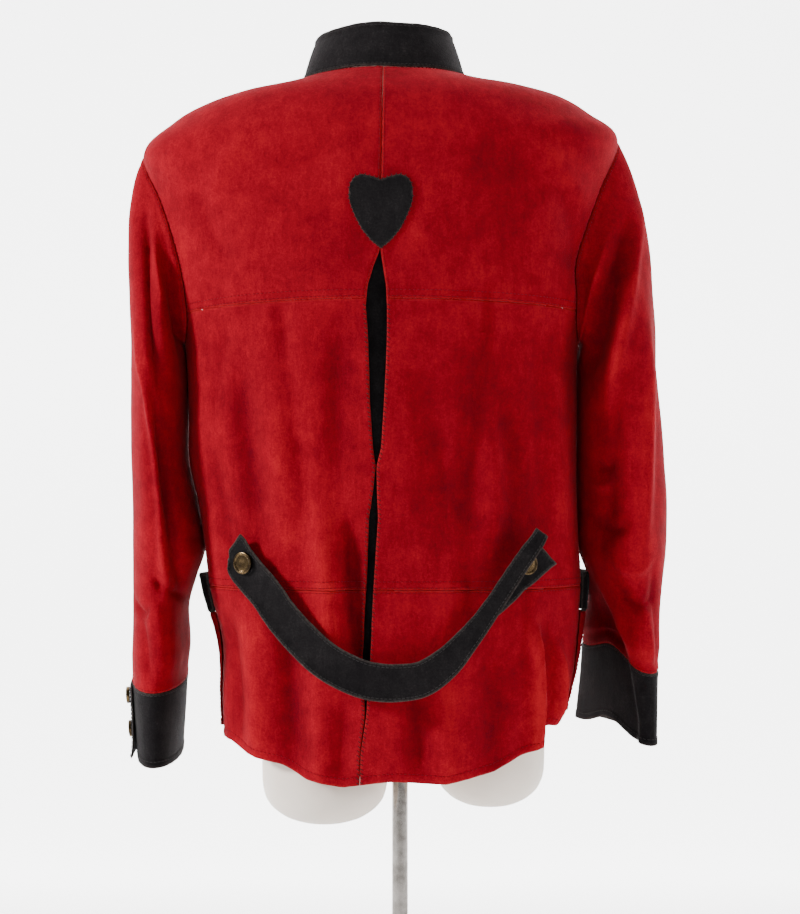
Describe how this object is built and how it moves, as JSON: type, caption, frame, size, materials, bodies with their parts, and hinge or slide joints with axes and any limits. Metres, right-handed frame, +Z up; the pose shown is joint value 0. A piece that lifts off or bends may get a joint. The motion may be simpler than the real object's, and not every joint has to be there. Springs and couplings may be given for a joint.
{
  "type": "suede jacket on a dress form",
  "caption": "Suede jacket with a stand collar, open back pleat, heart patch, hanging half belt and patch pockets, worn by a limbless dress form on a pole and a round base.",
  "frame": {"origin": "centre of the underside of the base plate, on the axis of the pole", "axes": "+Z up along the pole; the back of the jacket faces -Y and its fronts face +Y; the wearer's left is -X"},
  "size_m": [0.5411, 0.3, 1.1219],
  "materials": {
    "red_suede": "brushed suede, matt, with a soft nap",
    "black_suede": "brushed suede, matt, worn lighter at the edges",
    "button_brass": "antique brass with a raised rim",
    "form_cream": "smooth, pale, slightly satin",
    "stand_chrome": "polished chrome"
  },
  "bodies": {
    "root": {"back_yoke_left": "red_suede", "back_yoke_right": "red_suede", "back_panel_left": "red_suede", "back_panel_right": "red_suede", "back_skirt_left": "red_suede", "back_skirt_right": "red_suede", "front_left": "red_suede", "front_right": "red_suede", "sleeve_left": "red_suede", "sleeve_right": "red_suede", "pocket_left": "red_suede", "pocket_right": "red_suede", "pleat_underlay": "black_suede", "heart_patch": "black_suede", "stand_collar": "black_suede", "cuff_left": "black_suede", "cuff_right": "black_suede", "cuff_lap_left": "black_suede", "cuff_lap_right": "black_suede", "pocket_band_left": "black_suede", "pocket_band_right": "black_suede", "half_belt": "black_suede", "belt_end_flap": "black_suede", "belt_button_left": "button_brass", "belt_button_right": "button_brass", "cuff_button_left_upper": "button_brass", "cuff_button_left_lower": "button_brass", "cuff_button_right_upper": "button_brass", "cuff_button_right_lower": "button_brass", "front_button_1": "button_brass", "front_button_2": "button_brass", "front_button_3": "button_brass", "front_button_4": "button_brass", "front_button_5": "button_brass", "dress_form": "form_cream", "stand_pole": "stand_chrome", "stand_base": "stand_chrome"}
  },
  "joints": []
}
